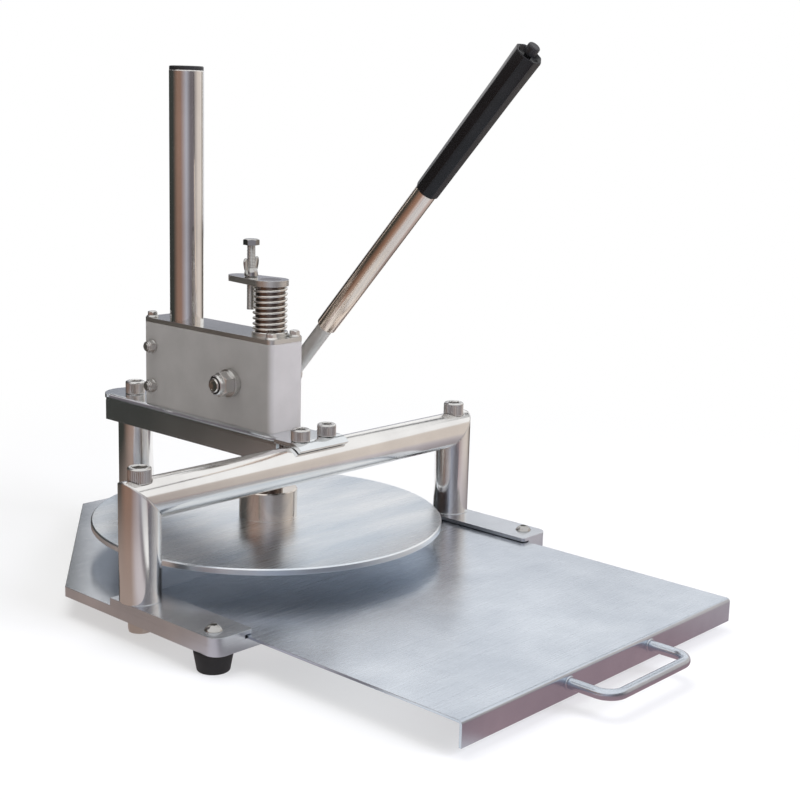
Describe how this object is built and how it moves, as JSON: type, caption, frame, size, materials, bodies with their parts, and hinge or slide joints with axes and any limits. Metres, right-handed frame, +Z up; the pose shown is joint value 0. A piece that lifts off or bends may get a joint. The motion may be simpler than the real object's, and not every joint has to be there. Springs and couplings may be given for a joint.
{
  "type": "manual dough press",
  "caption": "Lever-operated dough press: a rack ram pushes a round plate onto a pull-out tray, on a three-legged steel frame.",
  "frame": {"origin": "middle of the box's footprint, on the surface that the rubber feet stand on", "axes": "+Z up along the ram; -Y towards the user, where the tray comes out; +X to the side of the lever"},
  "size_m": [0.39, 0.612, 0.4473],
  "materials": {
    "plate_steel": "satin brushed stainless steel",
    "tube_steel": "polished stainless steel bar and tube",
    "spine_steel": "bent stainless sheet, brushed along its length",
    "gearbox_paint": "warm grey satin paint",
    "cover_steel": "machined stainless steel",
    "fastener_steel": "bright stainless fasteners",
    "ram_steel": "turned and ground steel",
    "disc_steel": "stainless plate, linear brushing, turned edge",
    "tray_steel": "stainless sheet, fine brushing",
    "lever_steel": "polished stainless tube and bar",
    "spring_steel": "bright spring wire",
    "bush_bronze": "turned bronze bushes",
    "grip_black": "glossy black moulded grip",
    "black_plastic": "black moulded plastic",
    "foot_rubber": "black rubber"
  },
  "bodies": {
    "frame": {"base_plate": "plate_steel", "guide_strip_left": "plate_steel", "guide_strip_right": "plate_steel", "guide_spacer_left": "plate_steel", "guide_spacer_right": "plate_steel", "portal_leg_left": "tube_steel", "portal_leg_right": "tube_steel", "portal_crossbar": "tube_steel", "crossbar_core": "tube_steel", "crossbar_plugs": "tube_steel", "rear_leg": "tube_steel", "pillar": "tube_steel", "spine": "spine_steel", "gearbox_body": "gearbox_paint", "gearbox_cover": "cover_steel", "upper_ram_bush": "cover_steel", "front_foot_screws": "fastener_steel", "rear_foot_screws": "fastener_steel", "foot_washers": "fastener_steel", "foot_nuts": "fastener_steel", "portal_bolts": "fastener_steel", "rear_leg_bolt": "fastener_steel", "frame_nuts": "fastener_steel", "tongue_bolts": "fastener_steel", "cover_screws": "fastener_steel", "gearbox_screws": "fastener_steel", "pillar_bolts": "fastener_steel", "pillar_nuts": "fastener_steel", "pillar_washers": "fastener_steel", "pillar_block": "ram_steel", "return_spring": "spring_steel", "lower_ram_bush": "bush_bronze", "shaft_bushes": "bush_bronze", "pillar_cap": "black_plastic", "rubber_feet": "foot_rubber"},
    "lever": {"lever_shaft": "ram_steel", "shaft_key": "ram_steel", "pinion": "ram_steel", "lever_washers": "fastener_steel", "shaft_nut": "fastener_steel", "lock_ring": "black_plastic", "lever_rod": "lever_steel", "lever_tube": "lever_steel", "lever_end_plug": "lever_steel", "lever_grip": "grip_black", "grip_screw": "black_plastic"},
    "ram": {"ram": "ram_steel", "ram_stop_ring": "fastener_steel", "cap_plate": "cover_steel", "press_disc": "disc_steel", "disc_hub": "ram_steel", "disc_screws": "fastener_steel", "ram_screw": "fastener_steel", "hub_set_screw": "fastener_steel"},
    "stop_bolt": {"stop_bolt": "fastener_steel"},
    "wing_nut": {"wing_nut": "fastener_steel"},
    "tray": {"tray": "tray_steel", "tray_handle": "tray_steel"}
  },
  "joints": [
    {"name": "lever_swing", "type": "hinge", "parent": "frame", "child": "lever", "pos_m": [0, 0.118, 0.1635], "axis": [1, 0, 0], "range_deg": [0, 48.7]},
    {"name": "ram_travel", "type": "slide", "parent": "frame", "child": "ram", "axis": [0, 0, -1], "range_m": [0, 0.017], "stiffness_N_per_m": 5500, "springref_m": -0.02, "deforming": ["return_spring"]},
    {"name": "stop_bolt_adjust", "type": "slide", "parent": "ram", "child": "stop_bolt", "axis": [0, 0, 1], "range_m": [0, 0.012]},
    {"name": "wing_nut_spin", "type": "hinge", "parent": "ram", "child": "wing_nut", "pos_m": [0, 0.115, 0.254], "axis": [0, 0, 1], "continuous": true},
    {"name": "tray_slide", "type": "slide", "parent": "frame", "child": "tray", "axis": [0, 1, 0], "range_m": [-0.06, 0.198]}
  ],
  "couplings": [
    {"joint": "ram_travel", "follows": "lever_swing", "m_per_rad": 0.02}
  ]
}
